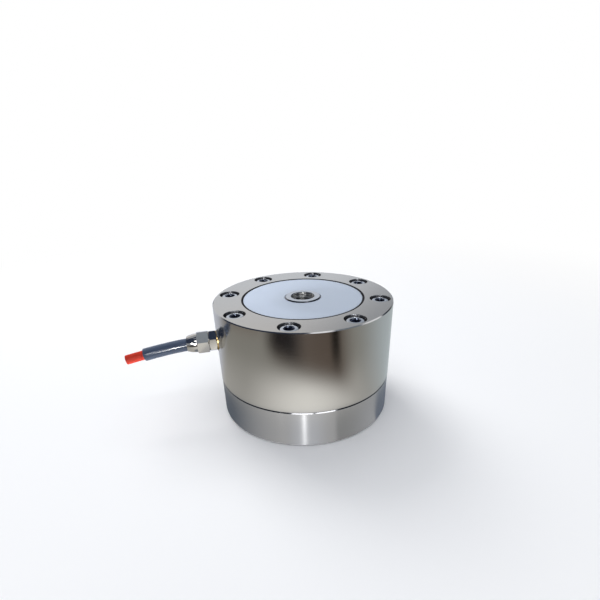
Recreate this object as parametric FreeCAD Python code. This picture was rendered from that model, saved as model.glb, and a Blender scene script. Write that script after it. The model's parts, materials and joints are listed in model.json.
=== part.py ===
import FreeCAD, Part
import math
import os

# Compression load cell: a one-piece spring element bolted to a round base plate.
# Millimetres. +Z is the load axis. The origin is the centre of the base plate's bottom face.
# The cable gland points along -X.

# Base plate
BASE_H = 22.2
BASE_INSET = 0.2            # less in radius than the spring element
BASE_EDGE = 1.0             # chamfer next to the floor
RELIEF_H = 1.2              # shallow recess under the hub
RELIEF_CLEAR = 1.0          # recess round the hub

# Spring element
BODY_D = 105.0
BODY_H = 46.3
BODY_EDGE = 0.5             # chamfer round the top of the rim
JOINT_EDGE = 0.35           # chamfers that meet at the joint line
HUB_EDGE = 0.6
HUB_D = 21.2
HUB_PROUD = 0.4             # hub above the rim
HUB_UNDER_GAP = 1.0         # hub above the base plate
SHOULDER_W = 2.4            # step of the hub that the covers sit on
LEDGE_W = 2.0               # step of the rim that the covers sit on
OUTER_WALL = 1.5            # metal outside the counterbores
INNER_WALL = 2.8            # metal inside the counterbores
WIRING_H = 2.8              # room over the webs, under the top cover
LOWER_ROOM_H = 2.6          # room under the webs, over the bottom cover
LOWER_SEAT_H = 3.4          # seat of the bottom cover above the joint line
POCKET_D = 10.0
PLACES = 8                  # pockets, and screws midway between them

# Centre threads, M14 x 2, cut at their major diameter
THREAD_D = 14.0
THREAD_DEPTH = 24.0
THREAD_EDGE = 0.2
BASE_THREAD_EDGE = 0.6
DRILL_POINT = 118.0

# Socket cap screws, M6
SCREW_D = 6.0
SCREW_GRIP = 10.5           # length of thread in the base plate
HEAD_D = 10.0
HEAD_H = 6.0
SOCKET_AF = 5.0
SOCKET_DEPTH = 3.0
HEAD_SINK = 0.8             # head below the rim
HEAD_CLEAR = 1.0            # counterbore round the head
SHANK_CLEAR = 0.3
TAP_CLEAR = 0.05
TAP_RUNOUT = 3.5            # tapped hole below the screw's point

# Covers and their seals
COVER_T = 2.6
COVER_FIT = 0.1             # covers inside the rim
HUB_GAP = 0.3               # covers round the hub
COVER_RAISED_H = 1.6        # white face above the groove
COVER_SUNK = 0.2            # white face below the rim
COVER_GROOVE_W = 1.3
COVER_EDGE = 0.6            # chamfer along the groove
SEAL_T = 0.6                # squeezed flat seals under the top cover
SEAL_INSET = 0.3            # seal back from the edge of its ledge

# Strain gauges, one on a wall of each pocket
GAUGE_T = 0.2
GAUGE_H = 9.0
GAUGE_ARC = 60.0
GAUGE_FIT = 0.02
TAB_W = 2.4
TAB_H = 0.8
TAB_T = 0.8
LEAD_W = 0.8                # flat ribbon
LEAD_T = 0.3

# Terminal board on top of the webs
BOARD_T = 0.8
BOARD_CLEAR = 1.0           # board off the hub and the rim
WINDOW_INSET = 0.1          # window over each pocket, smaller than the pocket
WINDOW_W = 7.0              # along the radius

# Cable gland
GLAND_RISE = 24.8           # axis above the joint line
GLAND_THREAD_D = 8.0
GLAND_THREAD_L = 8.0
PORT_CLEAR = 0.05
PORT_RUNOUT = 1.0
SPOT_CLEAR = 0.4            # flat round the washer
SPOT_DEPTH = 0.05
WASHER_D = 12.4
WASHER_T = 0.6
ADAPTER_AF = 11.0
ADAPTER_L = 4.4
ADAPTER_TURN = 30.0         # its corner above the horizontal
TAIL_D = 8.6                # outer thread that the nut runs on
TAIL_L = 5.4
GLAND_BORE_D = 6.0
NUT_AF = 12.0
NUT_HEX_L = 6.8
NUT_DOME_L = 5.65           # dome in two tapers
DOME_STEP = 0.5             # dome inside the hexagon's flats
DOME_BEND_L = 3.0           # length of the first taper
DOME_BEND_D = 10.4
NUT_TURN = 20.0
NUT_MOUTH_D = 8.1
NUT_LIP = 0.3               # wall at the mouth
NUT_GAP = 0.1               # nut off the adapter
NUT_FIT = 0.05
MOUTH_L = 3.0               # narrow stretch of the nut's bore
BUSH_FIT = 0.1              # rubber bush in the nut and on the cable

# Cable
CABLE_D = 5.5
SLEEVE_D = 7.3
SLEEVE_FIT = 0.04
SLEEVE_SET = 2.7            # sleeve inside the nut's mouth
SLEEVE_L = 27.1
CORE_D = 1.0
CORE_PITCH = 1.05
CORES = 4
CORE_LIE = 0.05             # core over the board
CORE_LANDING = 4.0          # core's end past the window in the board
DUCT_D = 7.0
# Distance past the nut's mouth, and drop below the gland's axis
ROUTE = [(-14.5, 0.0), (-0.5, 0.0), (22.0, 3.0), (34.0, 5.3)]
ARC_SHARE = 0.45            # of the shorter run, before and after each corner

# Radii that follow
body_r = BODY_D / 2
base_r = body_r - BASE_INSET
hub_r = HUB_D / 2
thread_r = THREAD_D / 2
shoulder_r = hub_r + SHOULDER_W
cbore_r = HEAD_D / 2 + HEAD_CLEAR
screw_circle_r = body_r - OUTER_WALL - cbore_r
rim_r = screw_circle_r - cbore_r - INNER_WALL
ledge_r = rim_r - LEDGE_W
pocket_circle_r = (shoulder_r + ledge_r) / 2
pocket_r = POCKET_D / 2
cover_inner_r = hub_r + HUB_GAP
cover_outer_r = rim_r - COVER_FIT

# Heights that follow
joint_z = BASE_H
rim_z = joint_z + BODY_H
hub_top_z = rim_z + HUB_PROUD
hub_bottom_z = joint_z + HUB_UNDER_GAP
top_ledge_z = rim_z - COVER_SUNK - COVER_RAISED_H - COVER_T
bottom_ledge_z = joint_z + LOWER_SEAT_H
web_top_z = top_ledge_z - WIRING_H
web_bottom_z = bottom_ledge_z + LOWER_ROOM_H
seat_z = rim_z - HEAD_SINK - HEAD_H
screw_end_z = joint_z - SCREW_GRIP
gland_z = joint_z + GLAND_RISE
board_top_z = web_top_z + BOARD_T

# Distances from the load axis along the gland, outwards
spot_r = WASHER_D / 2 + SPOT_CLEAR
spot_x = math.sqrt(body_r ** 2 - spot_r ** 2) - SPOT_DEPTH
adapter_x = spot_x + WASHER_T
tail_x = adapter_x + ADAPTER_L
nut_x = tail_x + NUT_GAP
dome_x = nut_x + NUT_HEX_L
mouth_x = dome_x + NUT_DOME_L
bush_start_x = tail_x + TAIL_L
bush_end_x = mouth_x - MOUTH_L
port_end_x = adapter_x - GLAND_THREAD_L - PORT_RUNOUT

# The first pocket faces the gland
POCKET_ANGLES = [180.0 + 360.0 * k / PLACES for k in range(PLACES)]
SCREW_ANGLES = [angle + 180.0 / PLACES for angle in POCKET_ANGLES]
UP = FreeCAD.Vector(0, 0, 1)
CENTRE = FreeCAD.Vector(0, 0, 0)
MITRED = 1                  # corner style of a swept wire


def at(radius, angle, z=0.0):
    """Point at a radius and angle round the load axis."""
    turn = math.radians(angle)
    return FreeCAD.Vector(radius * math.cos(turn), radius * math.sin(turn), z)


def cylinder(radius, low, high, place=CENTRE):
    """Upright cylinder between two heights."""
    return Part.makeCylinder(radius, high - low, place + UP * low)


def outline(corners):
    """Face in the XZ plane with its corners at (r, z)."""
    points = [FreeCAD.Vector(r, 0, z) for r, z in corners]
    return Part.Face(Part.makePolygon(points + points[:1]))


def turned(corners):
    """Solid of revolution about the load axis from an outline of (r, z)."""
    return outline(corners).revolve(CENTRE, UP, 360)


def hexagon(across_flats, low, high, corner_angle=0.0):
    """Upright hexagonal prism with one corner at an angle."""
    corner_r = across_flats / math.sqrt(3)
    corners = [at(corner_r, corner_angle + 60 * k, low) for k in range(6)]
    face = Part.Face(Part.makePolygon(corners + corners[:1]))
    return face.extrude(UP * (high - low))


def along_gland(shape):
    """Turns a shape built up the Z axis so that it points out along the gland."""
    shape.rotate(CENTRE, FreeCAD.Vector(0, 1, 0), -90)
    shape.translate(UP * gland_z)
    return shape


def gland_corner(rise):
    """Angle, before along_gland, of a direction that rises so many degrees on the -Y side."""
    return rise - 90.0


def elastic_body():
    """Rim, webs and hub in one piece, with the seats that the other pieces need."""
    shape = turned([
        (0, hub_bottom_z),
        (hub_r, hub_bottom_z),
        (hub_r, bottom_ledge_z),
        (shoulder_r, bottom_ledge_z),
        (shoulder_r, web_bottom_z),
        (ledge_r, web_bottom_z),
        (ledge_r, bottom_ledge_z),
        (rim_r, bottom_ledge_z),
        (rim_r, joint_z),
        (body_r - JOINT_EDGE, joint_z),
        (body_r, joint_z + JOINT_EDGE),
        (body_r, rim_z - BODY_EDGE),
        (body_r - BODY_EDGE, rim_z),
        (rim_r, rim_z),
        (rim_r, top_ledge_z),
        (ledge_r, top_ledge_z),
        (ledge_r, web_top_z),
        (shoulder_r, web_top_z),
        (shoulder_r, top_ledge_z),
        (hub_r, top_ledge_z),
        (hub_r, hub_top_z - HUB_EDGE),
        (hub_r - HUB_EDGE, hub_top_z),
        (0, hub_top_z),
    ])
    cuts = [load_thread_hole(), gland_port()]
    cuts += [screw_hole(angle) for angle in SCREW_ANGLES]
    cuts += [
        cylinder(pocket_r, web_bottom_z, web_top_z, at(pocket_circle_r, angle))
        for angle in POCKET_ANGLES
    ]
    return shape.cut(cuts)


def load_thread_hole():
    """Blind hole down the hub, with a drill point and a broken edge."""
    floor_z = hub_top_z - THREAD_DEPTH
    point_z = floor_z - thread_r / math.tan(math.radians(DRILL_POINT / 2))
    return turned([
        (0, point_z),
        (thread_r, floor_z),
        (thread_r, hub_top_z - THREAD_EDGE),
        (thread_r + THREAD_EDGE, hub_top_z),
        (0, hub_top_z),
    ])


def screw_hole(angle):
    """Counterbored clearance hole through the rim."""
    shank_r = SCREW_D / 2 + SHANK_CLEAR
    hole = turned([
        (0, joint_z),
        (shank_r, joint_z),
        (shank_r, seat_z),
        (cbore_r, seat_z),
        (cbore_r, rim_z),
        (0, rim_z),
    ])
    hole.translate(at(screw_circle_r, angle))
    return hole


def gland_port():
    """Spot face and thread for the gland, and the duct to the nearest pocket."""
    spot = cylinder(spot_r, spot_x, body_r + SPOT_DEPTH)
    port = cylinder(GLAND_THREAD_D / 2 + PORT_CLEAR, port_end_x, spot_x)
    duct = cylinder(DUCT_D / 2, pocket_circle_r, port_end_x)
    return along_gland(spot.fuse([port, duct]))


def base_plate():
    """Round plate with a centre thread, a shallow recess under the hub and blind tapped holes."""
    relief_r = hub_r + RELIEF_CLEAR
    relief_z = joint_z - RELIEF_H
    shape = turned([
        (thread_r + BASE_THREAD_EDGE, 0),
        (base_r - BASE_EDGE, 0),
        (base_r, BASE_EDGE),
        (base_r, joint_z - JOINT_EDGE),
        (base_r - JOINT_EDGE, joint_z),
        (relief_r, joint_z),
        (relief_r, relief_z),
        (thread_r, relief_z),
        (thread_r, BASE_THREAD_EDGE),
    ])
    tap_r = SCREW_D / 2 + TAP_CLEAR
    tap_z = screw_end_z - TAP_RUNOUT
    return shape.cut([
        cylinder(tap_r, tap_z, joint_z, at(screw_circle_r, angle)) for angle in SCREW_ANGLES
    ])


def rim_screw(angle):
    """Socket cap screw, head up, standing in its hole."""
    shank_r = SCREW_D / 2
    head_r = HEAD_D / 2
    head_z = seat_z + HEAD_H
    screw = turned([
        (0, screw_end_z),
        (shank_r, screw_end_z),
        (shank_r, seat_z),
        (head_r, seat_z),
        (head_r, head_z),
        (0, head_z),
    ])
    screw = screw.cut(hexagon(SOCKET_AF, head_z - SOCKET_DEPTH, head_z))
    screw.rotate(CENTRE, UP, angle)
    screw.translate(at(screw_circle_r, angle))
    return screw


def seal(inner_r, outer_r):
    """Flat ring between a ledge and the top cover."""
    return turned([
        (inner_r, top_ledge_z),
        (outer_r, top_ledge_z),
        (outer_r, top_ledge_z + SEAL_T),
        (inner_r, top_ledge_z + SEAL_T),
    ])


def rim_seal():
    return seal(ledge_r + SEAL_INSET, cover_outer_r)


def hub_seal():
    return seal(cover_inner_r, shoulder_r - SEAL_INSET)


def top_cover():
    """White ring on the seals, raised inside a narrow groove along the rim."""
    raised_r = rim_r - COVER_GROOVE_W
    flange_z = top_ledge_z + COVER_T
    face_z = flange_z + COVER_RAISED_H
    return turned([
        (cover_inner_r, top_ledge_z + SEAL_T),
        (cover_outer_r, top_ledge_z + SEAL_T),
        (cover_outer_r, flange_z),
        (raised_r, flange_z),
        (raised_r, face_z - COVER_EDGE),
        (raised_r - COVER_EDGE, face_z),
        (cover_inner_r, face_z),
    ])


def bottom_cover():
    """Plain ring that closes the webs from below, welded along both edges."""
    return turned([
        (cover_inner_r, bottom_ledge_z - COVER_T),
        (cover_outer_r, bottom_ledge_z - COVER_T),
        (cover_outer_r, bottom_ledge_z),
        (cover_inner_r, bottom_ledge_z),
    ])


def gauge_place(angle):
    """Centre of a pocket, and the direction from it to the web that its gauge is bonded to."""
    return at(pocket_circle_r, angle), angle + 90 + 180.0 / PLACES


def strain_gauge(angle):
    """Foil patch that follows the pocket's wall, with a solder tab along its top edge."""
    centre, facing = gauge_place(angle)
    middle_z = (web_top_z + web_bottom_z) / 2
    low = middle_z - GAUGE_H / 2
    high = middle_z + GAUGE_H / 2
    outer_r = pocket_r - GAUGE_FIT
    inner_r = outer_r - GAUGE_T
    section = outline([(inner_r, low), (outer_r, low), (outer_r, high), (inner_r, high)])
    patch = section.revolve(CENTRE, UP, GAUGE_ARC)
    patch.rotate(CENTRE, UP, -GAUGE_ARC / 2)
    tab_corner = FreeCAD.Vector(inner_r - TAB_T, -TAB_W / 2, high - TAB_H)
    tab = Part.makeBox(TAB_T + GAUGE_T, TAB_W, TAB_H, tab_corner)
    tab = tab.common(cylinder(outer_r, low, high))
    gauge = patch.fuse(tab).removeSplitter()
    gauge.rotate(CENTRE, UP, facing)
    gauge.translate(centre)
    return gauge


def gauge_lead(angle):
    """Flat ribbon from the solder tab up through the board's window."""
    centre, facing = gauge_place(angle)
    start_z = (web_top_z + web_bottom_z + GAUGE_H) / 2
    inner_r = pocket_r - GAUGE_FIT - GAUGE_T - TAB_T
    corner = FreeCAD.Vector(inner_r, -LEAD_W / 2, start_z)
    lead = Part.makeBox(LEAD_T, LEAD_W, board_top_z - start_z, corner)
    lead.rotate(CENTRE, UP, facing)
    lead.translate(centre)
    return lead


def terminal_board():
    """Ring-shaped board with a window over each pocket."""
    board = turned([
        (shoulder_r + BOARD_CLEAR, web_top_z),
        (ledge_r - BOARD_CLEAR, web_top_z),
        (ledge_r - BOARD_CLEAR, board_top_z),
        (shoulder_r + BOARD_CLEAR, board_top_z),
    ])
    length = POCKET_D - 2 * WINDOW_INSET
    corner = FreeCAD.Vector(pocket_circle_r - WINDOW_W / 2, -length / 2, web_top_z)
    windows = []
    for angle in POCKET_ANGLES:
        window = Part.makeBox(WINDOW_W, length, BOARD_T, corner)
        window.rotate(CENTRE, UP, angle)
        windows.append(window)
    return board.cut(windows)


def gland_washer():
    """Flat sealing ring between the spot face and the adapter."""
    ring = cylinder(WASHER_D / 2, spot_x, adapter_x)
    return along_gland(ring.cut(cylinder(GLAND_THREAD_D / 2 + PORT_CLEAR, spot_x, adapter_x)))


def gland_body():
    """Adapter: thread into the rim, hexagon, and the tail that the nut runs on."""
    thread = cylinder(GLAND_THREAD_D / 2, adapter_x - GLAND_THREAD_L, adapter_x)
    hexagonal = hexagon(ADAPTER_AF, adapter_x, tail_x, gland_corner(ADAPTER_TURN))
    tail = cylinder(TAIL_D / 2, tail_x, bush_start_x)
    bore = cylinder(GLAND_BORE_D / 2, adapter_x - GLAND_THREAD_L, bush_start_x)
    return along_gland(thread.fuse([hexagonal, tail]).cut(bore))


def nut_dome():
    """Two tapers, from inside the hexagon's flats to the lip at the mouth."""
    return turned([
        (0, dome_x),
        (NUT_AF / 2 - DOME_STEP, dome_x),
        (DOME_BEND_D / 2, dome_x + DOME_BEND_L),
        (NUT_MOUTH_D / 2 + NUT_LIP, mouth_x),
        (0, mouth_x),
    ])


def gland_nut():
    """Clamping nut: hexagon, then a dome that narrows to the cable's mouth."""
    nut = hexagon(NUT_AF, nut_x, dome_x, gland_corner(NUT_TURN)).fuse(nut_dome())
    nut = nut.cut([
        cylinder(TAIL_D / 2 + NUT_FIT, nut_x, bush_end_x),
        cylinder(NUT_MOUTH_D / 2, bush_end_x, mouth_x),
    ])
    return along_gland(nut)


def gland_seal():
    """Rubber bush between the tail's end and the nut's shoulder, round the cable."""
    bush = cylinder(TAIL_D / 2 - BUSH_FIT, bush_start_x, bush_end_x)
    return along_gland(bush.cut(cylinder(CABLE_D / 2 + BUSH_FIT, bush_start_x, bush_end_x)))


def cable_points():
    """Corners of the cable's route, from the stripped end in the gland outwards."""
    return [FreeCAD.Vector(-(mouth_x + out), 0, gland_z - drop) for out, drop in ROUTE]


def corner_arc(before, corner, after, radius):
    """Start, middle and end of the arc that rounds a corner."""
    back = (before - corner).normalize()
    ahead = (after - corner).normalize()
    half = back.getAngle(ahead) / 2
    reach = radius / math.tan(half)
    middle = corner + (back + ahead).normalize() * (radius / math.sin(half) - radius)
    return corner + back * reach, middle, corner + ahead * reach


def rounded_route(points, radii):
    """Straight runs joined by tangent arcs, as edges in order."""
    edges = []
    start = points[0]
    for k, radius in enumerate(radii, 1):
        arc_start, middle, arc_end = corner_arc(points[k - 1], points[k], points[k + 1], radius)
        edges.append(Part.LineSegment(start, arc_start).toShape())
        edges.append(Part.Arc(arc_start, middle, arc_end).toShape())
        start = arc_end
    edges.append(Part.LineSegment(start, points[-1]).toShape())
    return edges


def cable_route():
    """The cable's centreline, each arc as large as its two runs allow."""
    points = cable_points()
    radii = []
    for before, corner, after in zip(points, points[1:], points[2:]):
        shorter = min(corner.distanceToPoint(before), corner.distanceToPoint(after))
        turn = (corner - before).getAngle(after - corner)
        radii.append(ARC_SHARE * shorter / math.tan(turn / 2))
        print(f"cable arc radius {radii[-1]:.1f} mm, turn {math.degrees(turn):.1f} degrees")
    return rounded_route(points, radii)


def stretch(edges, start, end):
    """The edges of a route between two distances along it."""
    kept = []
    passed = 0.0
    for edge in edges:
        low = max(start - passed, 0.0)
        high = min(end - passed, edge.Length)
        if high - low > 1e-6:
            first = edge.getParameterByLength(low)
            last = edge.getParameterByLength(high)
            kept.append(edge.Curve.toShape(first, last))
        passed += edge.Length
    return kept


def tube(edges, radius):
    """Round solid along a route: a cylinder for each run and a bent one for each arc."""
    solids = []
    for edge in edges:
        start = edge.valueAt(edge.FirstParameter)
        heading = edge.tangentAt(edge.FirstParameter)
        disc = Part.Face(Part.Wire(Part.makeCircle(radius, start, heading)))
        if isinstance(edge.Curve, Part.Circle):
            turn = math.degrees(edge.Length / edge.Curve.Radius)
            solids.append(disc.revolve(edge.Curve.Center, edge.Curve.Axis, turn))
        else:
            solids.append(disc.extrude(heading * edge.Length))
    return solids[0].fuse(solids[1:])


def cable(route):
    return tube(route, CABLE_D / 2)


def cable_sleeve(route):
    """Sleeve over the cable, from inside the nut's mouth outwards."""
    start = -ROUTE[0][0] - SLEEVE_SET
    covered = stretch(route, start, start + SLEEVE_L)
    return tube(covered, SLEEVE_D / 2).cut(tube(covered, CABLE_D / 2 + SLEEVE_FIT))


def cable_core(k):
    """One wire, sharply bent, from the stripped end through the duct, up the pocket and onto the board."""
    start = cable_points()[0]
    across = FreeCAD.Vector(0, (k - (CORES - 1) / 2) * CORE_PITCH, 0)
    lie_z = board_top_z + CORE_LIE + CORE_D / 2
    landing_x = pocket_circle_r + WINDOW_W / 2 + CORE_LANDING
    points = [
        start + across,
        FreeCAD.Vector(-pocket_circle_r, 0, gland_z) + across,
        FreeCAD.Vector(-pocket_circle_r, 0, lie_z) + across,
        FreeCAD.Vector(-landing_x, 0, lie_z) + across,
    ]
    section = Part.Wire(Part.makeCircle(CORE_D / 2, points[0], points[1] - points[0]))
    return Part.makePolygon(points).makePipeShell([section], True, False, MITRED)


def numbered(name, shapes):
    """Node names for pieces that repeat."""
    return {f"{name}_{k}": shape for k, shape in enumerate(shapes, 1)}


def pieces():
    """Every node by name."""
    route = cable_route()
    nodes = {
        "elastic_body": elastic_body(),
        "base_plate": base_plate(),
        "top_cover": top_cover(),
        "bottom_cover": bottom_cover(),
        "rim_seal": rim_seal(),
        "hub_seal": hub_seal(),
        "terminal_board": terminal_board(),
        "gland_washer": gland_washer(),
        "gland_body": gland_body(),
        "gland_nut": gland_nut(),
        "gland_seal": gland_seal(),
        "cable": cable(route),
        "cable_sleeve": cable_sleeve(route),
    }
    nodes.update(numbered("rim_screw", [rim_screw(angle) for angle in SCREW_ANGLES]))
    nodes.update(numbered("strain_gauge", [strain_gauge(angle) for angle in POCKET_ANGLES]))
    nodes.update(numbered("gauge_lead", [gauge_lead(angle) for angle in POCKET_ANGLES]))
    nodes.update(numbered("cable_core", [cable_core(k) for k in range(CORES)]))
    length = sum(edge.Length for edge in route)
    section = math.pi * (CABLE_D / 2) ** 2
    print(f"cable length {length:.2f} mm, volume {nodes['cable'].Volume:.1f} mm3")
    print(f"section times length {section * length:.1f} mm3")
    return nodes


os.makedirs("parts", exist_ok=True)
for name, shape in pieces().items():
    shape.exportStep(f"parts/{name}.step")
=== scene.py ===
import json
import math
import bpy
from mathutils import Matrix, Vector


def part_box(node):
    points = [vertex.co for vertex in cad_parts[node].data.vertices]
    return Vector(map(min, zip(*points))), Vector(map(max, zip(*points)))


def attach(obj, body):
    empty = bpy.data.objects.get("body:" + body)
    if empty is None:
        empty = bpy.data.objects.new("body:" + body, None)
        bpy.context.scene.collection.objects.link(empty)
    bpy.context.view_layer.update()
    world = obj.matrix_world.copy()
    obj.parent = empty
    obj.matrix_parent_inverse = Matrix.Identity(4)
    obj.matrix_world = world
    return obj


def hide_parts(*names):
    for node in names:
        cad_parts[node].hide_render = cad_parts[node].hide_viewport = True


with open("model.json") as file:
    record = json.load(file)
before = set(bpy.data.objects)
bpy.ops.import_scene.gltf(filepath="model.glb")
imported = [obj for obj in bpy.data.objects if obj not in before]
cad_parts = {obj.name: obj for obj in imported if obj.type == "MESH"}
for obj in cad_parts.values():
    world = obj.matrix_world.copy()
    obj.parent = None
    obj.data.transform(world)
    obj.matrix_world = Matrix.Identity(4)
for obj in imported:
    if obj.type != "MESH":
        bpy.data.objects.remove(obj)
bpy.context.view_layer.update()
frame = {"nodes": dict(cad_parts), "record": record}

# Metres and degrees throughout. Z is the load axis, and the gland points along -X.

# Camera
CAMERA_AZIMUTH = -13.4
CAMERA_ELEVATION = 26.78
CAMERA_DISTANCE = 0.2426
CAMERA_ROLL = -1.51
CAMERA_LENS = 23.04
CAMERA_SENSOR = 36.0
CAMERA_SHIFT = (-0.0069, 0.0798)
CAMERA_NEAR = 0.005
CAMERA_FAR = 50.0
LOOK_AT = Vector((0.0, 0.0, 0.0343))

# Cable: distance past the nut's mouth, and drop below the gland's axis
ROUTE = [(-0.0145, 0.0), (-0.0005, 0.0), (0.022, 0.003), (0.034, 0.0053)]
CABLE_D = 0.0055

# Sleeve, which starts inside the nut's mouth
SLEEVE_D = 0.0073
SLEEVE_BORE_D = 0.00558
SLEEVE_SET = 0.0027
SLEEVE_LENGTH = 0.0271
SLEEVE_LIP = 0.0005
SLEEVE_BORE_STEP = 0.002

# Cores at the cut end
CORE_D = 0.0013
CORE_SPREAD = 0.00105
CORE_INSET = 0.0004
CORE_STAND = 0.0003
CORE_BEVEL_OUT = 0.00005
CORE_BEVEL_IN = 0.00008
CORE_SLOTS = ("core_red", "core_black", "core_green", "core_white")

# Centre threads: the hub's is given by depths below its top, and the base plate's by heights
THREAD_R = 0.00705
CREST_R = 0.00592
THREAD_PITCH = 0.002
CREST_W = 0.0004
ROOT_W = 0.00172
HUB_THREAD_LOW = 0.0215
HUB_THREAD_HIGH = 0.0012
BASE_THREAD_LOW = 0.0014
BASE_THREAD_HIGH = 0.0202

# Gland: hexagons, the adapter's two plain ends, and the nut's dome
ADAPTER_AF = 0.011
ADAPTER_TURN = 30.0
ADAPTER_LENGTH = 0.0044
ADAPTER_BORE_R = 0.003
PORT_END_R = 0.004
PORT_END_LENGTH = 0.0078
NUT_END_R = 0.0043
NUT_END_LENGTH = 0.0054
END_BEVEL = 0.0004
NUT_AF = 0.012
NUT_TURN = 20.0
TAIL_R = 0.00435
DOME_R = 0.0055
DOME_LENGTH = 0.00565
MOUTH_R = 0.00405
MOUTH_DEPTH = 0.003
LIP_R = 0.00435
FACE_INSET = 0.0001
CORNER_SLOPE = 30.0

# Screws
SCREW_COUNT = 8
HEAD_R = 0.005
HEAD_ROUND = 0.0009
HEAD_H = 0.006
SHANK_R = 0.003
SOCKET_AF = 0.005
SOCKET_DEPTH = 0.003
SOCKET_EDGE = 0.0005
SOCKET_RIM_R = 0.0031
SOCKET_POINT = 0.0008
SOCKET_POINT_R = 0.0004
SOCKET_FLOOR_SHARE = 0.98
SOCKET_TURN = 17.0

# Groove round the cover, with its filler and its black bead, which stands in for the shade in the groove
GROOVE_OUTER_R = 0.0362
GROOVE_FLOOR = 0.0667
COVER_R = 0.0349
COVER_TOP = 0.0683
COVER_EDGE = 0.0006
FILLET_LAP_SHARE = 0.96
FILLET_R = 0.03496
FILLET_EDGE = 0.0001
FILLET_TOP = COVER_TOP - 0.00001
BEAD_PLAY = 0.00002
BEAD_TOP = 0.06848
BEAD_EDGE = 0.00015
BEAD_WALL_EDGE = 0.00005

# Hub, and the rim's counterbores
HUB_R = 0.0106
HUB_EDGE = 0.0006
HUB_PROUD = 0.0004
COUNTERBORE_REACH = 0.0065

# Painted shade on the cover: where the painted shadow beside the hub and the painted shade towards the
# right lie, and how much they and the random clouds deepen the colour
HUB_SHADOW_CENTRE = (0.004, -0.004, 0.0)
HUB_SHADOW_STEP = (0.028, 0.011)
COVER_SHADE = (0.80, -0.60, 0.0)
COVER_SHADE_REACH = 0.035
HUB_SHADOW_SHARE = 0.45
CLOUD_SHARE = 0.2

# What the bores and the joint's bevel add to roughness
BORE_ROUGHNESS = 0.21
BEVEL_ROUGHNESS = -0.09

# How far the nickel's gloss is drawn out, and what its bores add to that
NICKEL_ANISOTROPY = 0.1
BORE_ANISOTROPY = 0.9

root = "root"
nodes = frame["nodes"]


# Geometry read from the frame

def middle(node):
    low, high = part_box(node)
    return (low + high) / 2


gland_z = middle("gland_washer").z
adapter_x = -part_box("gland_washer")[0].x
tail_x = adapter_x + ADAPTER_LENGTH
nut_x = -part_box("gland_nut")[1].x
mouth_x = -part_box("gland_nut")[0].x
dome_x = mouth_x - DOME_LENGTH
hub_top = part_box("elastic_body")[1].z
rim_z = hub_top - HUB_PROUD
joint_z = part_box("base_plate")[1].z
body_r = -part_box("base_plate")[0].x
screw_circle_r = middle("rim_screw_1").xy.length

# Zones of the finishes: one limit or two, then the width of the soft edge
HUB_ZONE = (HUB_R + 0.0005, 0.0002)
HUB_EDGE_ACROSS = (HUB_R - HUB_EDGE, HUB_R + 0.0002, 0.0001)
HUB_EDGE_HEIGHT = (hub_top - 0.00006, 0.00008)
HUB_BORE_ACROSS = (THREAD_R + 0.0002, 0.0001)
HUB_BORE_HEIGHT = (hub_top - 0.00025, 0.0003)
COUNTERBORES_ACROSS = (screw_circle_r - COUNTERBORE_REACH, screw_circle_r + COUNTERBORE_REACH, 0.0004)
COUNTERBORES_HEIGHT = (rim_z - 0.0002, 0.0002)
BODY_SIDE = (body_r - 0.0005, 0.0002)
JOINT_BEVEL = (joint_z - 0.00076, 0.00004)
SOCKET_ACROSS = (SOCKET_RIM_R + 0.00005, 0.0001)
SOCKET_HEIGHT = (-0.00006, 0.00008)


# Node helpers

# Sockets of the mix node in its colour form
MIX_FACTOR = 0
MIX_FIRST = 6
MIX_SECOND = 7
MIX_RESULT = 2


def put(tree, kind, inputs=None, **settings):
    """New shader node with its settings and unlinked values."""
    node = tree.nodes.new(kind)
    for name, value in settings.items():
        setattr(node, name, value)
    for name, value in (inputs or {}).items():
        node.inputs[name].default_value = value
    return node


def feed(tree, value, socket):
    """Links an output, or sets a number, a vector or a colour."""
    if isinstance(value, bpy.types.NodeSocket):
        tree.links.new(value, socket)
    elif socket.type == "RGBA":
        socket.default_value = (*value, 1.0)
    else:
        socket.default_value = value


def calc(tree, operation, *values):
    node = put(tree, "ShaderNodeMath", operation=operation)
    for socket, value in zip(node.inputs, values):
        feed(tree, value, socket)
    return node.outputs[0]


def vector_calc(tree, operation, *values):
    node = put(tree, "ShaderNodeVectorMath", operation=operation)
    for socket, value in zip(node.inputs, values):
        feed(tree, value, socket)
    return node.outputs["Value" if operation in ("LENGTH", "DOT_PRODUCT") else "Vector"]


def blend(tree, factor, first, second):
    """Colour between two colours."""
    node = put(tree, "ShaderNodeMix", data_type="RGBA")
    feed(tree, factor, node.inputs[MIX_FACTOR])
    feed(tree, first, node.inputs[MIX_FIRST])
    feed(tree, second, node.inputs[MIX_SECOND])
    return node.outputs[MIX_RESULT]


def remap(tree, value, low, high, start=0.0, end=1.0):
    """Low at the start and high at the end, straight between them."""
    node = put(tree, "ShaderNodeMapRange",
               {"From Min": start, "From Max": end, "To Min": low, "To Max": high})
    feed(tree, value, node.inputs["Value"])
    return node.outputs["Result"]


def rise(tree, value, start, end):
    """Soft step from 0 at the start to 1 at the end, which may be the lower of the two."""
    node = put(tree, "ShaderNodeMapRange", {"From Min": start, "From Max": end},
               interpolation_type="SMOOTHSTEP")
    feed(tree, value, node.inputs["Value"])
    return node.outputs["Result"]


def above(tree, value, limit, soft):
    """1 above a limit, with a soft edge of a given width."""
    return rise(tree, value, limit - soft / 2, limit + soft / 2)


def below(tree, value, limit, soft):
    """1 below a limit, with a soft edge of a given width."""
    return rise(tree, value, limit + soft / 2, limit - soft / 2)


def both(tree, first, second):
    return calc(tree, "MULTIPLY", first, second)


def window(tree, value, low, high, soft):
    """1 between two limits, with soft edges of a given width."""
    return both(tree, above(tree, value, low, soft), below(tree, value, high, soft))


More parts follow.
